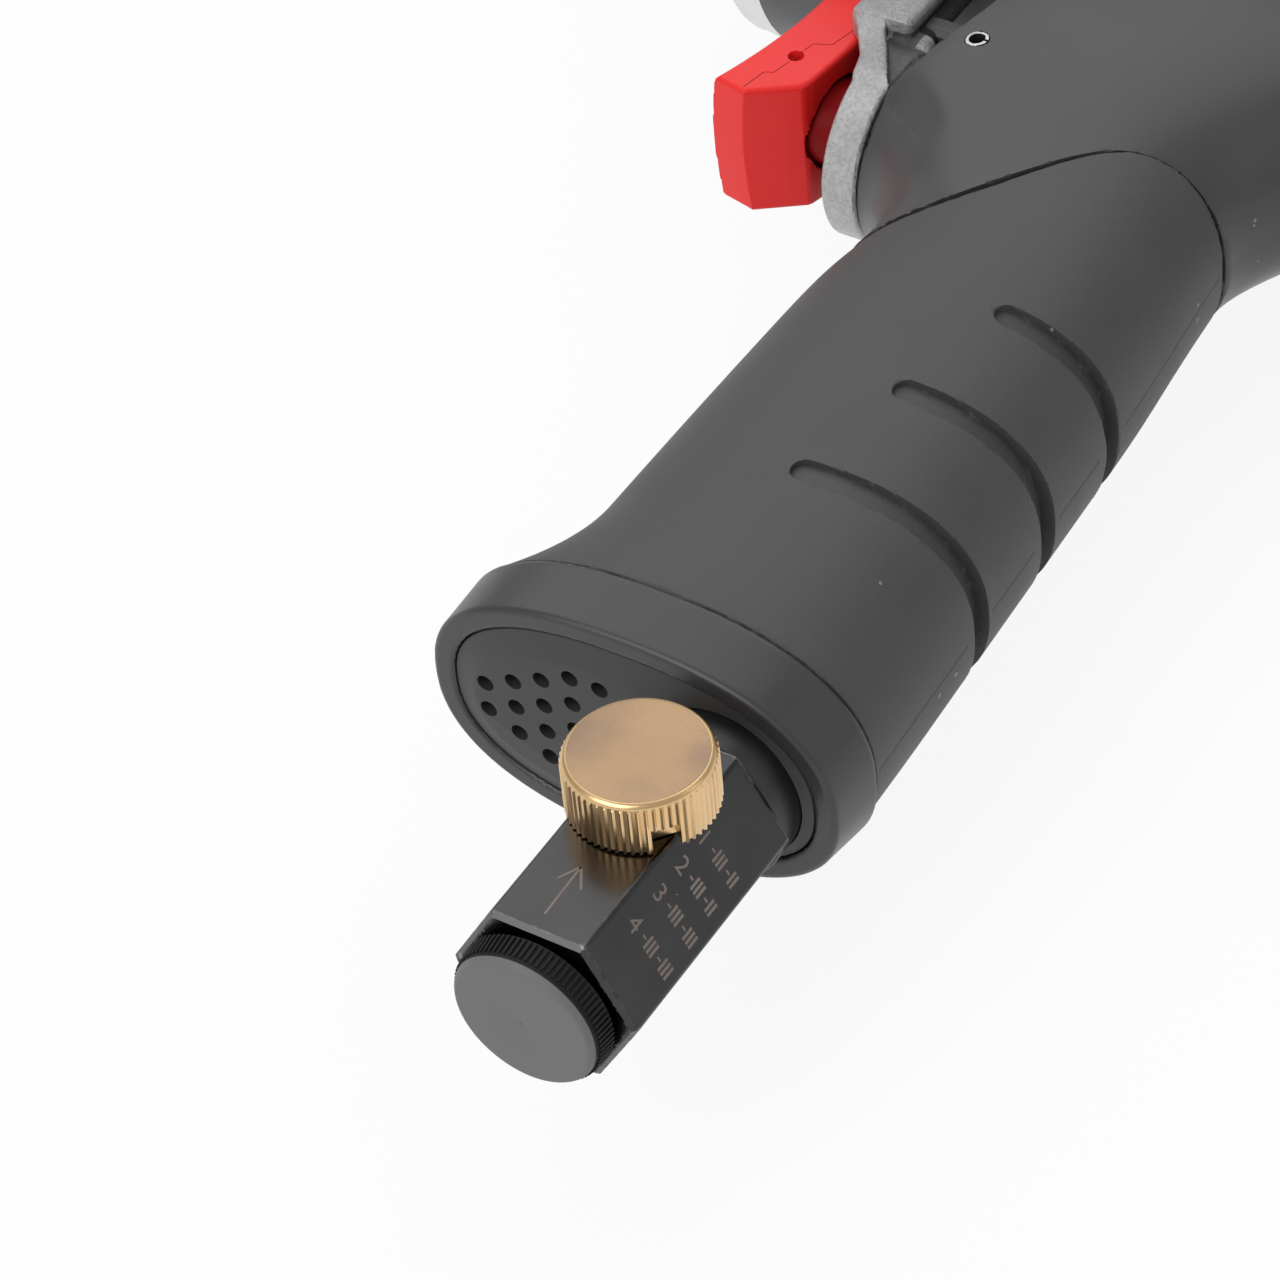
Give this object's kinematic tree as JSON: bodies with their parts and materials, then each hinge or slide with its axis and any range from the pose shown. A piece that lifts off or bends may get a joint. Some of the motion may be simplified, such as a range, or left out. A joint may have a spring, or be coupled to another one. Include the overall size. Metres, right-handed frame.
{
  "type": "air impact wrench",
  "caption": "Pistol-grip pneumatic impact wrench with a square drive, sprung trigger, reverse valve, knurled power regulator at the air inlet and an exhaust grille in the handle's foot.",
  "frame": {"origin": "on the drive axis, at the shoulder behind the square drive that a socket seats against", "axes": "+X along the drive axis out of the nose, +Y down the handle towards the air inlet, +Z to the tool's left side, which faces up as the tool lies on its right side"},
  "size_m": [0.173, 0.2529, 0.064],
  "materials": {
    "black_composite": "semi-gloss glass-filled composite, black",
    "grip_rubber": "matte black overmould with a fine leather texture",
    "foot_plastic": "smooth black moulding",
    "grille_plastic": "matte dark grey moulding",
    "cast_alloy": "bead-blasted casting, silver",
    "case_alloy": "dark grey barrel with a bright machined front edge",
    "tool_steel": "ground hardened steel",
    "drive_steel": "phosphated alloy steel",
    "black_oxide": "black oxide on milled steel",
    "knob_brass": "turned and knurled brass",
    "bearing_bronze": "plain bearing bronze",
    "plug_plastic": "matte grey moulding",
    "trigger_red": "glossy red moulding",
    "seal_rubber": "black seal rubber",
    "gasket_fibre": "pressed gasket sheet",
    "motor_iron": "ground iron",
    "vane_laminate": "resin laminate",
    "felt": "grey needle felt"
  },
  "bodies": {
    "tool": {"hammer_case": "case_alloy", "nose_bushing": "bearing_bronze", "case_gasket": "gasket_fibre", "case_bolts": "black_oxide", "front_frame": "cast_alloy", "front_bearing": "tool_steel", "front_end_plate": "motor_iron", "cylinder_liner": "motor_iron", "rear_end_plate": "motor_iron", "rear_bearing": "tool_steel", "motor_housing": "black_composite", "rear_gasket": "gasket_fibre", "rear_cover": "black_composite", "cover_screws": "black_oxide", "grip_sleeve": "grip_rubber", "foot_cap": "foot_plastic", "exhaust_grille": "grille_plastic", "silencer_felt": "felt", "inlet_bushing": "black_oxide", "inlet_screen": "tool_steel", "regulator_body": "black_oxide", "stem_bushing": "bearing_bronze", "stem_seal": "seal_rubber", "throttle_seat": "seal_rubber", "throttle_spring": "tool_steel", "bushing_pin": "tool_steel"},
    "motor_rotor": {"rotor": "tool_steel", "vanes": "vane_laminate", "hammer_cage": "drive_steel", "hammer_pins": "tool_steel"},
    "rear_hammer": {"rear_hammer": "drive_steel"},
    "front_hammer": {"front_hammer": "drive_steel"},
    "drive": {"anvil": "drive_steel", "socket_ring": "tool_steel", "socket_cushion": "seal_rubber"},
    "trigger": {"trigger": "trigger_red", "trigger_pin": "tool_steel", "trigger_stem": "tool_steel", "throttle_valve": "tool_steel"},
    "reverse": {"reverse_spool": "tool_steel", "reverse_buttons": "black_composite"},
    "regulator": {"regulator_knob": "knob_brass", "regulator_spool": "tool_steel", "spool_seal": "seal_rubber"},
    "plug": {"dust_plug": "plug_plastic"}
  },
  "joints": [
    {"name": "rotor_spin", "type": "hinge", "parent": "tool", "child": "motor_rotor", "pos_m": [-0.093, 0, 0], "axis": [1, 0, 0], "continuous": true},
    {"name": "anvil_spin", "type": "hinge", "parent": "tool", "child": "drive", "pos_m": [0, 0, 0], "axis": [1, 0, 0], "continuous": true},
    {"name": "rear_hammer_rock", "type": "hinge", "parent": "motor_rotor", "child": "rear_hammer", "pos_m": [-0.03935, 0, 0.0208], "axis": [1, 0, 0], "range_deg": [-3, 3]},
    {"name": "front_hammer_rock", "type": "hinge", "parent": "motor_rotor", "child": "front_hammer", "pos_m": [-0.02945, 0, -0.0208], "axis": [1, 0, 0], "range_deg": [-3, 3]},
    {"name": "trigger_pull", "type": "slide", "parent": "tool", "child": "trigger", "axis": [-1, 0, 0], "range_m": [0, 0.005], "stiffness_N_per_m": 1500, "springref_m": -0.003, "deforming": ["throttle_spring"]},
    {"name": "reverse_slide", "type": "slide", "parent": "tool", "child": "reverse", "axis": [0, 0, 1], "range_m": [-0.0055, 0]},
    {"name": "regulator_turn", "type": "hinge", "parent": "tool", "child": "regulator", "pos_m": [-0.104, 0.1922, 0.0113], "axis": [0, 0, 1], "range_deg": [0, 270]},
    {"name": "plug_pull", "type": "slide", "parent": "tool", "child": "plug", "axis": [0, 1, 0], "range_m": [0, 0.018]}
  ],
  "couplings": [
    {"joint": "anvil_spin", "follows": "rotor_spin", "ratio": 1}
  ]
}
